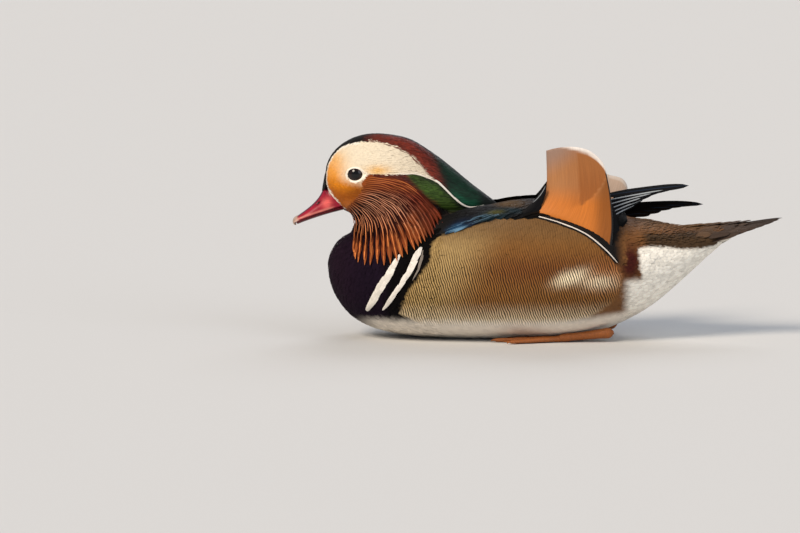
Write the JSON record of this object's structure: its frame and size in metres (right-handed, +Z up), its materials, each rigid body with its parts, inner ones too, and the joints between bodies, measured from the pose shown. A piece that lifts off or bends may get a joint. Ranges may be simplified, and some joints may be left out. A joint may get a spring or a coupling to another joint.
{
  "type": "mandarin duck",
  "caption": "Life-size still model of a mandarin duck drake, afloat with neck drawn in, set down on its belly with feet tucked under.",
  "frame": {"origin": "on the ground under the bird, midway between bill tip and tail tip, on the plane of symmetry of the trunk", "axes": "+Z up, bill towards -X, tail towards +X, the bird's left side towards -Y"},
  "size_m": [0.3255, 0.119, 0.1347],
  "materials": {
    "face": "soft cream and orange face plumage",
    "crest": "glossy maroon to green crest plumage",
    "hackles": "rufous pointed hackles",
    "trunk": "body plumage, purple breast, vermiculated flanks, white belly",
    "wing": "dark glossy wing feathers",
    "sail": "orange sail feather",
    "tail": "brown tail feathers",
    "horn": "red bill with a pale nail",
    "eye": "dark wet eye",
    "leg": "orange scaly legs and webs"
  },
  "bodies": {
    "root": {"head": "face", "crest": "crest", "neck": "hackles", "torso": "trunk", "wing_left": "wing", "wing_right": "wing", "sail_left": "sail", "sail_right": "sail", "tail": "tail", "bill_upper": "horn", "bill_lower": "horn", "eye_left": "eye", "eye_right": "eye", "leg_left": "leg", "leg_right": "leg"}
  },
  "joints": []
}
